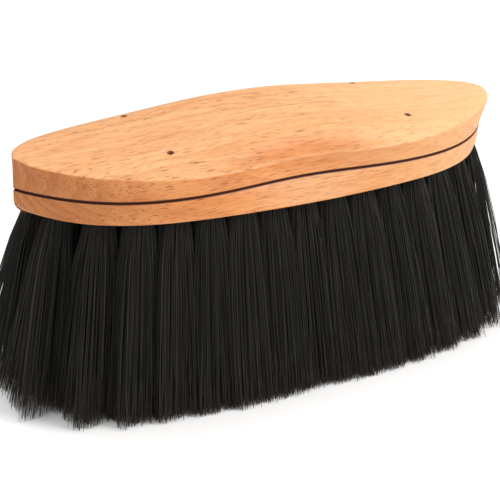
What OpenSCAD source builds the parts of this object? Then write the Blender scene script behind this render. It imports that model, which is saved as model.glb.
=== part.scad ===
// Two-board wooden block brush with four rows of wire-drawn bristle tufts.
// The bristle tips rest on z = 0, the block lies along X and +Z is up.

/* [Block] */
// Length of the block
block_l = 210; // [190:1:250]
// Thickness of the tuft board, the lower of the two boards
board_t = 8.8; // [7.5:0.1:12]
// Height of the block's upper edge at its ends, above the underside
end_h = 20.8; // [18:0.1:26]
// Rise of the arched middle above the ends
arch_h = 5.7; // [2:0.1:8]
// Drop of the rounded shoulder below the ends, at the middle
shoulder_drop = 7; // [2:0.1:8]
// Width of the underside away from the middle
foot_w = 66.6; // [62:0.1:80]
// Bulge of the underside at the middle, on each side
foot_bulge = 3; // [0:0.1:5]
// Width at the joint away from the middle
joint_w = 67.5; // [62:0.1:80]
// Depth of the finger waist at the joint, on each side
waist = 3.7; // [0:0.1:6]
// Width of the upper edge away from the middle
crown_w = 68.6; // [62:0.1:80]
// Depth of the finger waist at the upper edge, on each side
crown_waist = 4.8; // [0:0.1:7]
// Width of the decorative groove round the joint
groove_w = 1.1; // [0.4:0.1:2]
// Depth of that groove
groove_d = 0.9; // [0.3:0.1:1.5]

/* [Tufts] */
// Free length of the bristles
bristle_l = 72; // [50:1:90]
// Distance from an end of the block to the last tuft's axis
row_end = 14; // [12:0.5:20]
// Distance from the underside's edge to the axes of the outer rows
row_inset = 7.6; // [6:0.1:10]
// Radius of a tuft's bore
bore_r = 3.7; // [2.5:0.1:4]
// Depth of a tuft's bore
bore_depth = 5.8; // [4:0.1:6.2]
// Radial clearance of a tuft in its bore
tuft_fit = 0.05; // [0.02:0.01:0.1]
// How much wider than its bore a tuft is where it leaves it, on each side
mouth_flare = 0.4; // [0.3:0.1:0.8]
// Gap between the underside and the spread bristles round a bore
mouth_gap = 0.2; // [0.1:0.1:0.5]
// Gap between the tips of neighbouring tufts
tip_gap = 0.55; // [0.2:0.05:3]
// Spread of the tips along the block, as a share of the roots' spacing
splay_x = 1.15; // [1.05:0.01:1.2]
// Spread of the tips across the block, as a share of the roots' spacing
splay_y = 1.62; // [1.3:0.01:1.7]

/* [Draw wires] */
// Radius of a draw wire
wire_r = 0.5; // [0.3:0.05:0.55]
// Radius of the doubled wire that goes down to each tuft
loop_r = 0.65; // [0.6:0.05:0.75]
// Radius of the wire's twist over each tuft
knot_r = 0.75; // [0.75:0.05:0.85]
// How far the wire's loop reaches into a tuft
loop_depth = 2.5; // [1:0.1:3.5]
// Clearance round a wire in its hole and under the cap
wire_gap = 0.2; // [0.1:0.05:0.3]
// Wood left between the groove and the hollow over the wires
relief_wall = 1; // [0.5:0.1:3]

/* [Brads] */
// Wood left between a brad's hole and the bore beside it
brad_in = 0.6; // [0.4:0.1:3]
// Wood left under a brad's point
brad_cover = 4.2; // [1:0.1:6]
// Radius of a brad's shank
brad_r = 0.7; // [0.5:0.05:0.8]
// Radius of a brad's head
head_r = 1.1; // [0.9:0.05:1.4]
// Thickness of a brad's head
head_t = 0.8; // [0.5:0.1:1.2]
// How far the heads are set below the surface
head_sink = 1.2; // [0.5:0.1:2]
// Radial clearance round a brad
brad_fit = 0.05; // [0.02:0.01:0.1]

/* [Hidden] */
$fn = 48;
half_l = block_l / 2;
// Flat left at each end of the block, half of it per side of the point
end_flat = 1.2;
// How bluntly the sides and the upper edge close at the block's ends
side_blunt = 4.7;
side_flare = 1.04;
crown_blunt = 3.24;
crown_flare = 0.64;
// Reach along the block of the bulge, the waist and the arch
bulge_reach = 45;
waist_reach = 31;
arch_reach = 51;
// Power of the crown's curve across the block, at the ends and added at the middle
crown_power = 5.6;
crown_power_rise = 4;
// Rings along half the block, and steps across half the crown
ring_count = 22;
crown_steps = 6;
joint_z = bristle_l + board_t;
// Overshoot that keeps a cut clear of the face it opens
over = 1;
// Distance from a knot's centre at which the straight runs of wire start
knot_inset = 0.2;

// Tufts from the middle to the end of an outer row, and of an inner row
outer_reach = 7;
inner_reach = 5;
// Distance between neighbouring tufts in a row
pitch = (half_l - row_end) / outer_reach;
// Radius of a tuft at its tips
tip_r = (pitch * splay_x - tip_gap) / 2;
// Where the inner rows close on one tuft, in pitches from the middle
closing_pitches = 5.75;
// Share of the outer rows' distance from the middle that the inner rows keep
inner_share = 1 / 3;
// Where the brads stand, in pitches from the middle
brad_pitches = 4;

relief_depth = 2 * (knot_r + wire_gap);
relief_margin = knot_r + wire_gap;
wire_z = joint_z + wire_gap + knot_r;
hole_r = loop_r + wire_gap;
plug_r = bore_r - tuft_fit;

// Bell curve round the middle of the block
function bell(x, reach) = exp(-pow(x / reach, 2));
// Share of a width that is left at x, closing to a blunt point at the ends
function nose(x, blunt, flare) = pow(max(0, 1 - pow(abs(x) / half_l, blunt)), flare);
function side_nose(x) = nose(x, side_blunt, side_flare);
function crown_nose(x) = nose(x, crown_blunt, crown_flare);
function foot_half(x) = side_nose(x) * (foot_w / 2 + foot_bulge * bell(x, bulge_reach));
function joint_half(x) = side_nose(x) * (joint_w / 2 - waist * bell(x, waist_reach));
function crown_half(x) = crown_nose(x) * (crown_w / 2 - crown_waist * bell(x, waist_reach));
// Heights above the underside of the shoulder and of the crest
function shoulder_h(x) = end_h - shoulder_drop * (1 - pow(x / half_l, 2));
function crest_h(x) = end_h + arch_h * bell(x, arch_reach);
function crown_curve(x) = crown_power + crown_power_rise * bell(x, waist_reach);
function crown_h(x, share) = crest_h(x) - (crest_h(x) - shoulder_h(x)) * pow(share, crown_curve(x));

stations = [for (i = [-ring_count:ring_count]) (half_l - end_flat) * sin(90 * i / ring_count)];
shares = [for (i = [0:crown_steps]) 1 - pow(i / crown_steps, 1.5)];

// Half outlines of the two boards at x, from the bottom up, as [half width, height]
function board_side(x) = let (j = joint_half(x), g = min(groove_d, j * 0.7)) [
    [foot_half(x), bristle_l],
    [j, joint_z - groove_w / 2],
    [j - g, joint_z - groove_w / 2],
    [j - g, joint_z]
];
function cap_side(x) = let (j = joint_half(x), g = min(groove_d, j * 0.7)) [
    [j - g, joint_z],
    [j - g, joint_z + groove_w / 2],
    [j, joint_z + groove_w / 2],
    for (s = shares) [crown_half(x) * s, bristle_l + crown_h(x, s)]
];
// Closed ring at x from a half outline; a last point on the middle plane is shared
function ring(x, side) = let (n = len(side), last = side[n - 1][0] > 0 ? n - 1 : n - 2) [
    for (p = side) [x, p[0], p[1]],
    for (i = [last:-1:0]) [x, -side[i][0], side[i][1]]
];

// Root and tip of the tuft at [x, y], and the centre of the wire's twist above it
function root(p) = [p[0], p[1], bristle_l];
function tip(p) = [p[0] * splay_x, p[1] * splay_y, 0];
function knot(p) = [p[0], p[1], wire_z];

// The outer rows keep inside both the underside's edge and the groove at the joint
joint_inset = groove_d + relief_wall + relief_margin;
function outer_y(x) = min(foot_half(x) - row_inset, joint_half(x) - joint_inset);
outer_x = [for (i = [-outer_reach:outer_reach]) i * pitch];
inner_x = [for (i = [-inner_reach:inner_reach - 1]) (i + 0.5) * pitch];
closing_x = closing_pitches * pitch;
ROWS = [
    ["front", [for (x = outer_x) [x, -outer_y(x)]]],
    ["inner_front", [
        [-closing_x, 0],
        for (x = inner_x) [x, -outer_y(x) * inner_share],
        [closing_x, 0]
    ]],
    ["inner_back", [for (x = inner_x) [x, outer_y(x) * inner_share]]],
    ["back", [for (x = outer_x) [x, outer_y(x)]]]
];

// Each brad stands beside a tuft of an outer row, on its inner side
brad_x = brad_pitches * pitch;
brad_y = outer_y(brad_x) - bore_r - brad_in - brad_fit - brad_r;
brad_top = bristle_l + crown_h(brad_x, brad_y / crown_half(brad_x)) - head_sink;
brad_l = brad_top - bristle_l - brad_cover;
BRADS = [for (sx = [-1, 1], sy = [-1, 1]) [sx * brad_x, sy * brad_y]];

// Closed solid through rings with the same number of points
module loft(rings) {
    n = len(rings[0]);
    last = len(rings) - 1;
    walls = [
        for (k = [0:last - 1], i = [0:n - 1])
            let (a = k * n + i, b = k * n + (i + 1) % n)
                each [[a, a + n, b], [b, a + n, b + n]]
    ];
    ends = [[for (i = [0:n - 1]) i], [for (i = [n - 1:-1:0]) last * n + i]];
    polyhedron([for (r = rings) each r], concat(walls, ends));
}

// Places its children at the root of the tuft at p, with +Z up along the tuft's axis
module along_tuft(p) {
    v = root(p) - tip(p);
    translate(root(p))
        rotate([0, acos(v[2] / norm(v)), atan2(v[1], v[0])])
            children();
}

// Bore and wire hole for the tuft at p
module tuft_cuts(p) {
    translate(root(p) - [0, 0, over]) {
        cylinder(h = bore_depth + over, r = bore_r);
        translate([0, 0, bore_depth]) cylinder(h = board_t, r = hole_r);
    }
}

// Shallow hollow under the cap board, over all four draw wires
module wire_relief() {
    front = [for (p = ROWS[0][1]) knot(p)];
    back = [for (p = ROWS[3][1]) knot(p)];
    end_x = back[len(back) - 1][0] + relief_margin;
    outline = [
        [-end_x, front[0][1] - relief_margin],
        for (k = front) [k[0], k[1] - relief_margin],
        [end_x, front[0][1] - relief_margin],
        [end_x, back[0][1] + relief_margin],
        for (i = [len(back) - 1:-1:0]) [back[i][0], back[i][1] + relief_margin],
        [-end_x, back[0][1] + relief_margin]
    ];
    translate([0, 0, joint_z - over]) linear_extrude(relief_depth + over) polygon(outline);
}

// Places its children at the knot a, with +X along the straight run to the knot b
module along_run(a, b) {
    d = b - a;
    translate(a) rotate([0, 0, atan2(d[1], d[0])]) translate([knot_inset, 0, 0]) children();
}

module brad_hole() {
    cylinder(h = brad_l, r = brad_r + brad_fit);
    translate([0, 0, brad_l - head_t]) cylinder(h = block_l, r = head_r + brad_fit);
}

module tuft_board() {
    color("burlywood")
        difference() {
            loft([for (x = stations) ring(x, board_side(x))]);
            for (row = ROWS, p = row[1]) tuft_cuts(p);
            for (b = BRADS) translate([b[0], b[1], brad_top - brad_l]) brad_hole();
        }
}

module cap_board() {
    color("tan")
        difference() {
            loft([for (x = stations) ring(x, cap_side(x))]);
            wire_relief();
            for (b = BRADS) translate([b[0], b[1], brad_top - brad_l]) brad_hole();
        }
}

// Wire over one row of tufts, with a twist over each tuft and a loop down into it
module draw_wire(points) {
    knots = [for (p = points) knot(p)];
    leg = wire_z - bristle_l - bore_depth + loop_depth;
    color("silver")
        union() {
            for (k = knots) translate(k) sphere(r = knot_r);
            for (i = [0:len(knots) - 2])
                along_run(knots[i], knots[i + 1])
                    rotate([0, 90, 0])
                        cylinder(h = norm(knots[i + 1] - knots[i]) - 2 * knot_inset, r = wire_r);
            for (k = knots) translate(k - [0, 0, leg]) cylinder(h = leg, r = loop_r);
        }
}

module brads() {
    color("dimgray")
        for (b = BRADS)
            translate([b[0], b[1], brad_top - brad_l]) {
                cylinder(h = brad_l - head_t, r = brad_r);
                translate([0, 0, brad_l - head_t]) cylinder(h = head_t, r = head_r);
            }
}

// Bundle of bristles, straight in its bore, fanning out to tips trimmed level
module tuft(p) {
    mouth_r = bore_r + mouth_flare;
    widening = (tip_r - mouth_r) / norm(root(p) - tip(p));
    reach = norm(root(p) - tip(p)) + tip_r;
    color("#26221c")
        difference() {
            union() {
                translate(root(p) - [0, 0, 2 * over])
                    cylinder(h = bore_depth + 2 * over - tuft_fit, r = plug_r);
                intersection() {
                    along_tuft(p)
                        translate([0, 0, -reach])
                            cylinder(
                                h = reach + tip_r,
                                r1 = mouth_r + widening * reach,
                                r2 = mouth_r - widening * tip_r
                            );
                    translate([-block_l, -block_l, 0])
                        cube([2 * block_l, 2 * block_l, bristle_l - mouth_gap]);
                }
            }
            translate(root(p) + [0, 0, bore_depth - loop_depth - tuft_fit])
                cylinder(h = loop_depth + over, r = loop_r + tuft_fit);
        }
}

tuft_board();
cap_board();
for (row = ROWS) draw_wire(row[1]);
brads();
for (row = ROWS, i = [0:len(row[1]) - 1])
    tuft(row[1][i]);
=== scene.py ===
import math
import random

import bmesh
import bpy
import numpy as np
from mathutils import Matrix, Vector


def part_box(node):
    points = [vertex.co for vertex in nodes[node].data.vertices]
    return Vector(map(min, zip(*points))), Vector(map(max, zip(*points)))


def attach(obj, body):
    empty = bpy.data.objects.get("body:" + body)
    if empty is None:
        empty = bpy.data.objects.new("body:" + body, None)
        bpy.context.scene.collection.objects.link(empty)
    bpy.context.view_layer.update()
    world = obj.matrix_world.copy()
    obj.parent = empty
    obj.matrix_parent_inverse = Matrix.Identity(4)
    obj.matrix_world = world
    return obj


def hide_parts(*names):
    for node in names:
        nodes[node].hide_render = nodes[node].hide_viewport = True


# a wooden block brush: camera and light, the two boards, the brads and wires, then the bristles
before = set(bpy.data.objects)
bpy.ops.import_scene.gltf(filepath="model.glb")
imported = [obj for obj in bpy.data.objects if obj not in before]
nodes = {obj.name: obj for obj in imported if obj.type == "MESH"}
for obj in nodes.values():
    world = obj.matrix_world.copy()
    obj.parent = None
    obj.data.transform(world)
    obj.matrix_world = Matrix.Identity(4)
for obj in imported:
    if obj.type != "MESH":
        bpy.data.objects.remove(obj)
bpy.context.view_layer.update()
mm = 0.001

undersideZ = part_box("tuft_board")[0][2]
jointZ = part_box("tuft_board")[1][2]
tuftNames = sorted(name for name in nodes if "_tuft_" in name)
wireNames = sorted(name for name in nodes if name.endswith("_draw_wire"))

scene = bpy.context.scene
scene.view_settings.view_transform = "Standard"


class Field:  # an output socket that adds its own Math nodes in an expression
    def __init__(self, shader, socket):
        self.shader, self.socket = shader, socket

    def math(self, operation, *values):
        return self.shader.node("Math", {"operation": operation}, dict(enumerate(values)))

    def __add__(self, other):
        return self.math("ADD", self, other)

    def __sub__(self, other):
        return self.math("SUBTRACT", self, other)

    def __rsub__(self, other):
        return self.math("SUBTRACT", other, self)

    def __mul__(self, other):
        return self.math("MULTIPLY", self, other)

    def __abs__(self):
        return self.math("ABSOLUTE", self)

    __radd__ = __add__
    __rmul__ = __mul__

    def ramp(self, low, high):  # 0 at low, 1 at high, smooth between
        return self.shader.node("MapRange", {"interpolation_type": "SMOOTHSTEP"}, {0: self, 1: low, 2: high})


class Shader:  # one material and the nodes that it is made of
    def __init__(self, name):
        self.material = bpy.data.materials.new(name)
        self.material.use_nodes = True
        self.tree = self.material.node_tree
        self.surface = self.tree.nodes["Principled BSDF"]

    def node(self, kind, settings=None, inputs=None, out=0):
        made = self.tree.nodes.new("ShaderNode" + kind)
        for key, value in (settings or {}).items():
            setattr(made, key, value)
        for key, value in (inputs or {}).items():
            self.put(made.inputs[key], value)
        return Field(self, made.outputs[out])

    def put(self, socket, value):
        if isinstance(value, Field):
            self.tree.links.new(value.socket, socket)
        elif isinstance(value, tuple) and len(value) == 3 and socket.type == "RGBA":
            socket.default_value = (*value, 1)
        else:
            socket.default_value = value

    def coords(self, scale, shift=(0, 0, 0), turn=(0, 0, 0)):  # the piece's own metres, scaled
        place = self.node("TexCoord", out="Object")
        moved = {"Vector": place, "Location": shift, "Rotation": turn, "Scale": scale}
        return self.node("Mapping", {}, moved)

    def noise(self, scale, detail, roughness, shift=(0, 0, 0)):
        inputs = {"Vector": self.coords(scale, shift), "Scale": 1, "Detail": detail, "Roughness": roughness}
        return self.node("TexNoise", {}, inputs)

    def mixColour(self, share, one, other, blend="MIX"):  # 6 and 7 are the Mix node's colours
        settings = {"data_type": "RGBA", "blend_type": blend}
        return self.node("Mix", settings, {0: share, 6: one, 7: other}, out=2)

    def part(self, vector, axis):
        return self.node("SeparateXYZ", {}, {0: vector}, out=axis)

    def finish(self, **inputs):
        for key, value in inputs.items():
            self.put(self.surface.inputs[key.replace("_", " ")], value)
        return self.material


def rgb(*screen):  # a colour as seen on a screen, 0 to 255 and none under 11, made linear
    return tuple(((value / 255 + 0.055) / 1.055) ** 2.4 for value in screen)


def meshObject(name, bm, material, smoothAngle=math.radians(35)):
    mesh = bpy.data.meshes.new(name)
    bm.to_mesh(mesh)
    bm.free()
    mesh.materials.append(material)
    mesh.polygons.foreach_set("use_smooth", [True] * len(mesh.polygons))
    mesh.set_sharp_from_angle(angle=smoothAngle)
    piece = bpy.data.objects.new(name, mesh)
    scene.collection.objects.link(piece)
    return piece


def stretch(low, high, share):
    return low + (high - low) * share


def nodePoints(name):  # corners of a CAD node as rows of x, y and z
    flat = np.empty(len(nodes[name].data.vertices) * 3)
    nodes[name].data.vertices.foreach_get("co", flat)
    return flat.reshape(-1, 3)


view = {
    "place": Vector((-0.2639, -0.4395, 0.2120)),  # from the middle of the block's underside
    "aim": Vector((-0.0048, 0, -0.0349)),
    "roll": math.radians(3),
    "lens": 101.0,
}
underside = Vector((0, 0, undersideZ))


def aimAt(thing, place, aim, roll=0.0):
    turn = (aim - place).to_track_quat("-Z", "Y").to_matrix().to_4x4()
    thing.matrix_world = Matrix.Translation(place) @ turn @ Matrix.Rotation(roll, 4, "Z")


cameraData = bpy.data.cameras.new("camera")
cameraData.lens = view["lens"]
camera = bpy.data.objects.new("camera", cameraData)
scene.collection.objects.link(camera)
aimAt(camera, underside + view["place"], underside + view["aim"], view["roll"])
scene.camera = camera

studio = {
    "world": 0.5,
    "floorSize": 4,  # metres from its middle to an edge
    "floorGrey": 0.93,
    # name: (place, size, watts, colour)
    "lamps": {
        "keySoftbox": ((0.8, -0.6, 0.85), 0.7, 12.0, (1.0, 0.98, 0.96)),
        "fillSoftbox": ((-0.9, -0.7, 0.5), 0.9, 1.2, (0.96, 0.98, 1.0)),
        "topSoftbox": ((-0.1, 0.3, 1.1), 0.9, 7.0, (1.0, 1.0, 1.0)),
    },
}
world = bpy.data.worlds.new("studio")
world.use_nodes = True
world.node_tree.nodes["Background"].inputs["Color"].default_value = (1, 1, 1, 1)
world.node_tree.nodes["Background"].inputs["Strength"].default_value = studio["world"]
scene.world = world
for name, (place, size, watts, colour) in studio["lamps"].items():
    lamp = bpy.data.lights.new(name, "AREA")
    lamp.shape = "DISK"
    lamp.size, lamp.energy, lamp.color = size, watts, colour
    lampObject = bpy.data.objects.new(name, lamp)
    scene.collection.objects.link(lampObject)
    aimAt(lampObject, Vector(place), underside)

paleFloor = Shader("paleFloor").finish(Base_Color=(studio["floorGrey"],) * 3, Roughness=0.9)
floorBm = bmesh.new()
bmesh.ops.create_grid(floorBm, x_segments=1, y_segments=1, size=studio["floorSize"])
floor = meshObject("floor", floorBm, paleFloor)
print("camera, light and floor are set")

wood = {
    "light": rgb(232, 177, 124),
    "middle": rgb(224, 160, 104),
    "deep": rgb(198, 128, 72),
    "plusEnd": rgb(236, 194, 144),  # towards the +X end of the block
    "side": rgb(245, 184, 83),
    # multiplied onto the sides: partly the wood's colour, partly painted shade
    "end": rgb(172, 98, 42),
    "streak": rgb(170, 102, 56),
    "pore": rgb(138, 78, 40),
    "burn": rgb(84, 36, 16),
    "plusEndFrom": -20 * mm,
    "plusEndTo": 95 * mm,
    "bump": 0.12 * mm,
}
# each noise: features to a metre along X, Y and Z, its detail and its roughness
grain = {
    "bend": ((7, 26, 26), 3, 0.5),
    "tone": ((9, 75, 75), 4, 0.6),
    "figure": ((28, 330, 330), 3, 0.6),
    "fibre": ((55, 1500, 1500), 3, 0.65),
    "vessels": ((190, 1600, 1600), 2, 0.5),  # dark lines of a few millimetres
    "crowd": ((14, 60, 60), 2, 0.5),  # where those are many
    "longStreaks": ((11, 420, 420), 2, 0.5),
}
crowdShift = (3.1, 7.7, 1.3)
streakShift = (1.7, 0.4, 5.5)
growth = {"scale": (0.25, 10, 10), "bend": 0.5, "bands": 5.2, "distortion": 1.6}
groove = {"width": 0.9 * mm, "depth": 0.9 * mm, "lip": 0.15 * mm}
bradHoles = {"radius": 1.15 * mm, "stain": 0.45 * mm, "below": 1.0 * mm, "above": 12 * mm}
bradPoints = nodePoints("brads")
bradX = np.abs(bradPoints[:, 0]).mean()
bradY = np.abs(bradPoints[:, 1]).mean()
bradTop = bradPoints[:, 2].max()


def growthLayers(s, shift, turn):  # nearly flat sheets along X, so the ends cut them into bands
    bend = s.noise(*grain["bend"], shift) * growth["bend"]
    flat = s.coords(growth["scale"], shift, (turn, 0, 0))
    bent = s.node("VectorMath", {"operation": "ADD"}, {0: flat, 1: s.node("CombineXYZ", {}, {2: bend})})
    settings = {"wave_type": "BANDS", "bands_direction": "Z", "wave_profile": "SAW"}
    inputs = {
        "Vector": bent,
        "Scale": growth["bands"],
        "Distortion": growth["distortion"],
        "Detail": 2.0,
        "Detail Scale": 1.5,
    }
    return s.node("TexWave", settings, inputs, out="Fac")


def woodMaterial(name, shift, turn):
    s = Shader(name)
    place = s.node("TexCoord", out="Object")
    facing = s.node("NewGeometry", out="Normal")
    layers = growthLayers(s, shift, turn)
    tone = s.noise(*grain["tone"], shift)
    fibre = s.noise(*grain["fibre"], shift)
    figure = s.noise(*grain["figure"], shift)
    vessels = s.noise(*grain["vessels"], shift)
    faintVessels = vessels.ramp(0.48, 0.64)
    darkVessels = vessels.ramp(0.62, 0.7) * s.noise(*grain["crowd"], crowdShift).ramp(0.35, 0.6)
    longStreaks = s.noise(*grain["longStreaks"], streakShift).ramp(0.63, 0.74)
    colour = s.mixColour(tone.ramp(0.3, 0.7), wood["light"], wood["middle"])
    colour = s.mixColour(layers.ramp(0.35, 1.0) * 0.3, colour, wood["deep"])
    colour = s.mixColour(figure.ramp(0.48, 0.75) * 0.5, colour, wood["deep"])
    colour = s.mixColour(fibre.ramp(0.45, 0.7) * 0.35, colour, wood["deep"])
    colour = s.mixColour(faintVessels * 0.32, colour, wood["streak"])
    colour = s.mixColour(longStreaks * 0.55, colour, wood["streak"])
    colour = s.mixColour(darkVessels * 0.75, colour, wood["pore"])
    # lighter and paler towards the +X end of the block
    plusEndShare = s.part(place, "X").ramp(wood["plusEndFrom"], wood["plusEndTo"])
    colour = s.mixColour(plusEndShare * (0.35 + tone * 0.3), colour, wood["plusEnd"])
    # the sides are darker and more orange by their facing, partly the wood cut across its layers and partly
    # painted shade; the ends are darker still, as end grain drinks more oil; both tints weaken towards the
    # +X end, painted light on the key light's side
    upright = 1 - abs(s.part(facing, "Z")).ramp(0.3, 0.8)
    endwise = abs(s.part(facing, "X")).ramp(0.1, 0.9) * upright
    sideShadeAndTint = s.mixColour(0.65, colour, wood["side"], "MULTIPLY")
    colour = s.mixColour(upright * (0.75 - plusEndShare * 0.5), colour, sideShadeAndTint)
    colour = s.mixColour(endwise * (0.4 + layers * 0.38) * (1 - plusEndShare * 0.4), colour, wood["end"])
    # scorched groove at the joint
    away = abs(s.part(place, "Z") - jointZ)
    scorch = 1 - away.ramp(groove["width"] * 0.52, groove["width"] * 0.95)
    colour = s.mixColour(scorch * 0.97, colour, wood["burn"])
    # stained rim round each brad's hole, the four of them folded onto one
    folded = s.node("VectorMath", {"operation": "ABSOLUTE"}, {0: place})
    flat = s.node("VectorMath", {"operation": "MULTIPLY"}, {0: folded, 1: (1, 1, 0)})
    spot = s.node("VectorMath", {"operation": "DISTANCE"}, {0: flat, 1: (bradX, bradY, 0)}, out="Value")
    stain = 1 - spot.ramp(bradHoles["radius"] * 0.9, bradHoles["radius"] + bradHoles["stain"])
    colour = s.mixColour(stain * 0.9, colour, wood["burn"])
    roughness = 0.5 + fibre * 0.14 + darkVessels * 0.2 - tone * 0.08
    relief = fibre * 0.35 + figure * 0.25 - darkVessels * 0.8 - longStreaks * 0.3
    bump = s.node("Bump", {}, {"Strength": 0.35, "Distance": wood["bump"], "Height": relief})
    return s.finish(Base_Color=colour, Roughness=roughness, Normal=bump, Specular_IOR_Level=0.4)


capWood = woodMaterial("oiledHardwoodCap", (0.3, 0.13, 0.02), math.radians(62))
boardWood = woodMaterial("oiledHardwoodBoard", (1.9, 0.57, 0.44), math.radians(-66))
print("wood is mixed")

block = {
    "halfLength": 104.4 * mm,
    "outlineLength": 105 * mm,  # where the outline would close to a point
    "tipRound": 3.0 * mm,
    "footHalf": 33.3 * mm,
    "footBulge": 3.0 * mm,
    "jointHalf": 33.75 * mm,
    "jointWaist": 3.7 * mm,
    "crownHalf": 34.3 * mm,
    "crownWaist": 4.8 * mm,
    "endHeight": 20.8 * mm,
    "arch": 5.7 * mm,
    "shoulderDrop": 7.0 * mm,
    "bulgeReach": 45 * mm,
    "waistReach": 31 * mm,
    "archReach": 51 * mm,
    "sideNose": (4.7, 1.04),  # how bluntly the sides close at the ends, and how they flare
    "crownNose": (3.24, 0.64),
    "crownPower": 5.6,  # of the crown's curve across the block, at the ends
    "crownPowerRise": 4,  # added to it in the middle
    "edgeRound": 0.7 * mm,
    "endRound": 4.5 * mm,  # of the tuft board's lower edge, at its two ends only
    "endPower": 14,  # how closely that keeps to the ends
    "ridge": 0.45,  # length of the line that the crown closes on, as a share of the edge's
    "points": 240,  # round the outline
    "sideRings": 8,
    "edgeRings": 4,
    "crownRings": 16,
    "boardLevels": (0.05, 0.1, 0.18, 0.28, 0.4, 0.55, 0.75, 1.0),
    "tangentStep": 0.004,
    "weld": 0.01 * mm,
}
bores = {"radius": 3.75 * mm, "over": 3 * mm}


def bell(x, reach):
    return math.exp(-((x / block[reach]) ** 2))


def nose(x, blunt, flare):
    closing = max(0.0, 1 - (abs(x) / block["outlineLength"]) ** blunt) ** flare
    into = (abs(x) - block["halfLength"] + block["tipRound"]) / block["tipRound"]
    return closing * math.sqrt(max(0.0, 1 - max(0.0, into) ** 2))


def footHalf(x):
    return nose(x, *block["sideNose"]) * (block["footHalf"] + block["footBulge"] * bell(x, "bulgeReach"))


def jointHalf(x):
    return nose(x, *block["sideNose"]) * (block["jointHalf"] - block["jointWaist"] * bell(x, "waistReach"))


def crownHalf(x):
    return nose(x, *block["crownNose"]) * (block["crownHalf"] - block["crownWaist"] * bell(x, "waistReach"))


def crownHeight(x, y):  # z of the upper surface
    crest = block["endHeight"] + block["arch"] * bell(x, "archReach")
    shoulder = block["endHeight"] - block["shoulderDrop"] * (1 - (x / block["outlineLength"]) ** 2)
    share = min(1.0, abs(y) / max(crownHalf(x), 1e-6))
    power = block["crownPower"] + block["crownPowerRise"] * bell(x, "waistReach")
    return undersideZ + crest - (crest - shoulder) * share**power


def outlinePoint(half, angle, inset=0.0):  # a point of an outline, moved in square to it
    def at(a):
        x = block["halfLength"] * math.cos(a)
        return Vector((x, math.copysign(half(x), math.sin(a))))

    point = at(angle)
    if inset:
        along = at(angle + block["tangentStep"]) - at(angle - block["tangentStep"])
        point += Vector((-along.y, along.x)).normalized() * inset
    return point


def ringOf(half, z, inset=0.0):
    def place(angle):
        point = outlinePoint(half, angle, inset)
        return Vector((point.x, point.y, z))

    return place


def growRings(rings):  # a circle placed on the first ring, then pulled out ring by ring
    bm = bmesh.new()
    angleLayer = bm.verts.layers.float.new("angle")
    bmesh.ops.create_circle(bm, cap_ends=False, segments=block["points"], radius=1)
    for vert in bm.verts:
        vert[angleLayer] = math.atan2(vert.co.y, vert.co.x) + math.pi / block["points"]
        vert.co = rings[0](vert[angleLayer])
    edge = list(bm.edges)
    for ring in rings[1:]:
        grown = bmesh.ops.extrude_edge_only(bm, edges=edge)["geom"]
        for vert in [g for g in grown if isinstance(g, bmesh.types.BMVert)]:
            vert.co = ring(vert[angleLayer])
        edge = [g for g in grown if isinstance(g, bmesh.types.BMEdge) and g.is_boundary]
    return bm


def closeUp(bm):  # merges what met, fills the open ends and turns every face outwards
    bmesh.ops.remove_doubles(bm, verts=bm.verts, dist=block["weld"])
    bmesh.ops.dissolve_degenerate(bm, dist=block["weld"] / 2, edges=bm.edges)
    bmesh.ops.holes_fill(bm, edges=[e for e in bm.edges if e.is_boundary], sides=0)
    bmesh.ops.recalc_face_normals(bm, faces=bm.faces)


def applyModifiers(piece):
    bpy.context.view_layer.update()
    flat = bpy.data.meshes.new_from_object(piece.evaluated_get(bpy.context.evaluated_depsgraph_get()))
    old = piece.data
    piece.modifiers.clear()
    piece.data = flat
    flat.name = old.name


def cutHoles(piece, holes):  # holes: (centre, radius, low, high)
    bm = bmesh.new()
    for centre, radius, low, high in holes:
        bmesh.ops.create_cone(
            bm, cap_ends=True, segments=40, radius1=radius, radius2=radius, depth=high - low,
            matrix=Matrix.Translation((centre[0], centre[1], (low + high) / 2)),
        )
    cutter = meshObject("cutter", bm, piece.data.materials[0])
    cut = piece.modifiers.new("holes", "BOOLEAN")
    cut.object, cut.operation, cut.solver = cutter, "DIFFERENCE", "MANIFOLD"
    applyModifiers(piece)
    bpy.data.objects.remove(cutter)


def capSide(share):  # straight from the groove up to the shoulder
    def place(angle):
        low = outlinePoint(jointHalf, angle)
        high = outlinePoint(crownHalf, angle)
        point = low.lerp(high, share)
        bottom = jointZ + groove["width"] / 2 + groove["lip"]
        top = crownHeight(high.x, high.y) - block["edgeRound"]
        return Vector((point.x, point.y, stretch(bottom, top, share)))

    return place


def capEdge(turn):  # rounded upper edge, from the side at 0 to the crown at 1
    def place(angle):
        rounding = block["edgeRound"]
        inset = rounding * (1 - math.cos(turn * math.pi / 2))
        point = outlinePoint(crownHalf, angle, inset)
        outer = outlinePoint(crownHalf, angle)
        inner = outlinePoint(crownHalf, angle, rounding)
        base = crownHeight(outer.x, outer.y) - rounding
        top = crownHeight(inner.x, inner.y)
        return Vector((point.x, point.y, stretch(base, top, math.sin(turn * math.pi / 2))))

    return place


def capCrown(share):  # plan copies of the edge, drawn in to a ridge along the middle
    def place(angle):
        edge = outlinePoint(crownHalf, angle, block["edgeRound"])
        x, y = edge.x * stretch(block["ridge"], 1, share), edge.y * share
        return Vector((x, y, crownHeight(x, y)))

    return place


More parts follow.
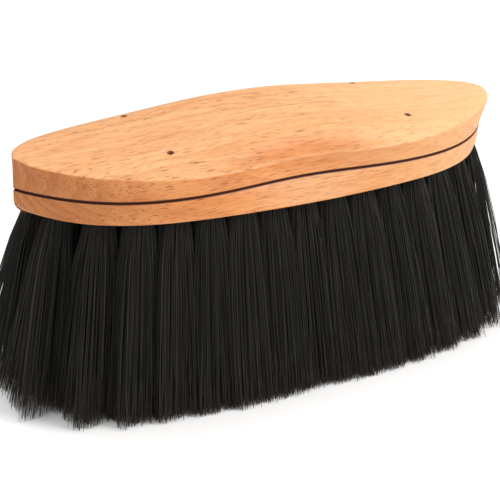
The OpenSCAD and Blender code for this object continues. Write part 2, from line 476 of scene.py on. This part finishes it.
def makeCap():
    half = groove["width"] / 2
    rings = [
        ringOf(jointHalf, jointZ, groove["depth"]),
        ringOf(jointHalf, jointZ + half, groove["depth"]),
        ringOf(jointHalf, jointZ + half, groove["lip"]),
    ]
    rings += [capSide(i / block["sideRings"]) for i in range(block["sideRings"] + 1)]
    rings += [capEdge(i / block["edgeRings"]) for i in range(1, block["edgeRings"] + 1)]
    count = block["crownRings"]
    rings += [capCrown(1 - (i / count) ** 1.5) for i in range(1, count + 1)]  # closest at the edge
    bm = growRings(rings)
    closeUp(bm)
    cap = meshObject("capBoard", bm, capWood)
    holes = []
    for sx in (-1, 1):
        for sy in (-1, 1):
            low, high = bradTop - bradHoles["below"], bradTop + bradHoles["above"]
            holes.append(((sx * bradX, sy * bradY), bradHoles["radius"], low, high))
    cutHoles(cap, holes)
    return cap


def rootAndTip(name):  # middle of a tuft's bore, and the middle of its level tips
    points = nodePoints(name)
    top = points[points[:, 2] > undersideZ + 2 * mm]
    tips = points[points[:, 2] < 0.1 * mm]
    root = (top.min(axis=0) + top.max(axis=0)) / 2
    tip = (tips.min(axis=0) + tips.max(axis=0)) / 2
    return Vector((root[0], root[1], undersideZ)), Vector((tip[0], tip[1], 0)), top[:, 2].max()


tuftPlaces = {name: rootAndTip(name) for name in tuftNames}


def makeTuftBoard():
    half = groove["width"] / 2

    def side(share, edge=0.0):  # drawn in where the lower edge is rounded at the ends
        def place(angle):
            z = stretch(undersideZ, jointZ - half - groove["lip"], share)
            below = max(0.0, 1 - (z - undersideZ) / block["endRound"])
            inset = block["endRound"] * (1 - math.sqrt(1 - below**2))
            inset = max(inset * abs(math.cos(angle)) ** block["endPower"], edge)
            foot = outlinePoint(footHalf, angle, inset)
            point = foot.lerp(outlinePoint(jointHalf, angle, inset), share)
            return Vector((point.x, point.y, z))

        return place

    rings = [side(0.0, 0.3 * mm), side(0.02, 0.08 * mm)]
    rings += [side(share) for share in block["boardLevels"]]
    rings += [
        ringOf(jointHalf, jointZ - half, groove["lip"]),
        ringOf(jointHalf, jointZ - half, groove["depth"]),
        ringOf(jointHalf, jointZ, groove["depth"]),
    ]
    bm = growRings(rings)
    closeUp(bm)
    board = meshObject("tuftBoard", bm, boardWood)
    low = undersideZ - bores["over"]
    cutHoles(board, [(root, bores["radius"], low, top) for root, _, top in tuftPlaces.values()])
    return board


boards = ((makeCap, "cap_board", "cap_wood"), (makeTuftBoard, "tuft_board", "board_wood"))
for maker, node, material in boards:
    piece = maker()
    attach(piece, "root")
    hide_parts(node)
    print(piece.name, "has", len(piece.data.polygons), "faces")

# the brads and wires keep their CAD shape
steel = {"grime": ((900, 900, 900), 4, 0.6), "bump": 0.05 * mm}


def metalMaterial(name, colour, dull, roughness):
    s = Shader(name)
    grime = s.noise(*steel["grime"])
    colour = s.mixColour(grime.ramp(0.4, 0.7), colour, dull)
    bump = s.node("Bump", {}, {"Strength": 0.3, "Distance": steel["bump"], "Height": grime})
    return s.finish(Base_Color=colour, Metallic=1.0, Roughness=roughness + grime * 0.2, Normal=bump)


bradSteel = metalMaterial("oxidisedBradSteel", rgb(96, 84, 74), rgb(52, 40, 32), 0.45)
wireSteel = metalMaterial("drawnWireSteel", rgb(176, 172, 166), rgb(120, 114, 106), 0.3)
for name, material in [("brads", bradSteel)] + [(name, wireSteel) for name in wireNames]:
    nodes[name].data.materials.clear()
    nodes[name].data.materials.append(material)
print("brads and wires are finished")

bristles = {
    "perOuterTuft": 860,
    "perInnerTuft": 460,
    "outerRow": 20 * mm,  # tufts with tips further out are full ones; those at the ends fall short of it
    "radius": 0.15 * mm,
    "boreRadius": 3.5 * mm,
    "intoBore": 3.0 * mm,
    "steps": (0.0, 0.05, 0.22, 0.45, 0.72, 1.0),  # shares of the length where a bristle bends
    "thickness": (0.8, 1.0, 1.0, 1.0, 0.95, 0.6),
    "fan": (0.0, 0.4, 0.66, 0.8, 0.92, 1.0),  # shares of the spread along the block there
    "spreadAlong": 8.8 * mm,  # of the tips, from a tuft's middle
    "spreadOut": 8.2 * mm,
    "endSpread": 9 * mm,  # added towards the block's ends, on the full tufts only
    "spreadIn": 14 * mm,
    "endPower": 4,
    "scatter": 0.7,  # of the tips, in millimetres
    "wave": 0.6 * mm,
    "clear": 0.15 * mm,  # between the longest tips and the floor
    "ragged": 0.7 * mm,
    "shortShare": 0.04,
    "shortBy": (2, 9),  # millimetres
    "firstSeed": 100,
    "tones": 48,
    "toneEdge": 0.15,  # margins inside a tone's column of the map, and at its ends
    "mapEdge": 0.01,
    "black": rgb(29, 28, 23),
    "brown": rgb(44, 40, 33),
    "grey": rgb(66, 61, 52),
    "tip": rgb(52, 36, 26),
    # painted shade under the board: nearly black, laid on the bristles near their roots
    "root": (0.004, 0.0036, 0.003),
}


def bristleMaterial():
    s = Shader("bristleFibre")
    place = s.node("UVMap", {"uv_map": "OFBake"})
    tone, length = s.part(place, "X"), s.part(place, "Y")
    colour = s.mixColour(tone.ramp(0.3, 0.92) * 0.8, bristles["black"], bristles["brown"])
    colour = s.mixColour(tone.ramp(0.93, 0.97) * 0.6, colour, bristles["grey"])
    colour = s.mixColour(length.ramp(0.8, 1.0) * 0.55, colour, bristles["tip"])
    # painted shade: the bristles darken to nearly black near their roots, under the board
    colour = s.mixColour((1 - length.ramp(0.0, 0.12)) * 0.5, colour, bristles["root"])
    return s.finish(Base_Color=colour, Roughness=0.45 + tone * 0.2, Specular_IOR_Level=0.3)


bristleFibre = bristleMaterial()


def bristlePath(rng, root, tip):  # points of one bristle, from inside the bore to its tip
    across, side = rng.uniform(-1, 1), rng.uniform(-1, 1)  # its place in the block of tips
    start = Vector((across * math.sqrt(1 - side**2 / 2), side * math.sqrt(1 - across**2 / 2), 0))
    start = root + start * bristles["boreRadius"]
    outward = side * tip.y > 0 and abs(tip.y) > bristles["outerRow"]
    spreadY = bristles["spreadOut"] if outward else bristles["spreadIn"]
    if outward:
        spreadY += bristles["endSpread"] * (abs(tip.x) / block["halfLength"]) ** bristles["endPower"]
    end = tip + Vector((across * bristles["spreadAlong"], side * spreadY, 0))
    end += Vector((rng.gauss(0, bristles["scatter"]), rng.gauss(0, bristles["scatter"]), 0)) * mm
    end.z = bristles["clear"] + abs(rng.gauss(0, bristles["ragged"]))
    if rng.random() < bristles["shortShare"]:
        end.z += rng.uniform(*bristles["shortBy"]) * mm
    sway = Vector((rng.gauss(0, 1), rng.gauss(0, 1), 0)) * bristles["wave"]
    points = [start + Vector((0, 0, bristles["intoBore"]))]
    for share, fan in list(zip(bristles["steps"], bristles["fan"]))[1:]:
        point = start.lerp(end, share)
        middle = stretch(root.x, tip.x, share)
        point.x = middle + stretch(start.x - root.x, end.x - tip.x, fan)
        points.append(point + sway * math.sin(share * math.pi))
    return points


def makeTuft(name, seed):
    rng = random.Random(seed)
    root, tip, _ = tuftPlaces[name]
    curve = bpy.data.curves.new(name + "_curve", "CURVE")
    curve.dimensions = "3D"
    curve.bevel_depth = bristles["radius"]
    curve.bevel_resolution = 0
    rings = len(bristles["steps"])
    outer = abs(tip.y) > bristles["outerRow"]
    count = bristles["perOuterTuft"] if outer else bristles["perInnerTuft"]
    for _ in range(count):
        spline = curve.splines.new("POLY")
        spline.points.add(rings - 1)
        spline.points.foreach_set("co", [c for p in bristlePath(rng, root, tip) for c in (*p, 1)])
        spline.points.foreach_set("radius", bristles["thickness"])
    holder = bpy.data.objects.new(name + "_curve", curve)
    scene.collection.objects.link(holder)
    bpy.context.view_layer.update()
    mesh = bpy.data.meshes.new_from_object(holder.evaluated_get(bpy.context.evaluated_depsgraph_get()))
    bpy.data.objects.remove(holder)
    bpy.data.curves.remove(curve)
    paintStrands(mesh, rng, count, rings)
    mesh.materials.clear()
    mesh.materials.append(bristleFibre)
    mesh.polygons.foreach_set("use_smooth", [True] * len(mesh.polygons))
    mesh.name = name + "_bristles"
    tuft = bpy.data.objects.new(name + "_bristles", mesh)
    scene.collection.objects.link(tuft)
    return tuft


def paintStrands(mesh, rng, count, rings):  # map each bristle to a column of its tone
    sides = len(mesh.vertices) // (count * rings)
    tones = np.array([rng.randrange(bristles["tones"]) for _ in range(count)])
    strand = np.repeat(tones, rings * sides)
    along = np.tile(np.repeat(bristles["steps"], sides), count)
    edge = np.tile(np.arange(sides) % 2, count * rings)
    across = (strand + stretch(bristles["toneEdge"], 1 - bristles["toneEdge"], edge)) / bristles["tones"]
    along = stretch(bristles["mapEdge"], 1 - bristles["mapEdge"], along)
    uv = mesh.uv_layers.new(name="OFBake")
    corner = np.empty(len(mesh.loops), dtype=np.int32)
    mesh.loops.foreach_get("vertex_index", corner)
    uv.uv.foreach_set("vector", np.column_stack((across[corner], along[corner])).ravel())


for index, name in enumerate(tuftNames):
    tuft = makeTuft(name, bristles["firstSeed"] + index)
    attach(tuft, "root")
    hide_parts(name)
print(len(tuftNames), "tufts of bristles are drawn")
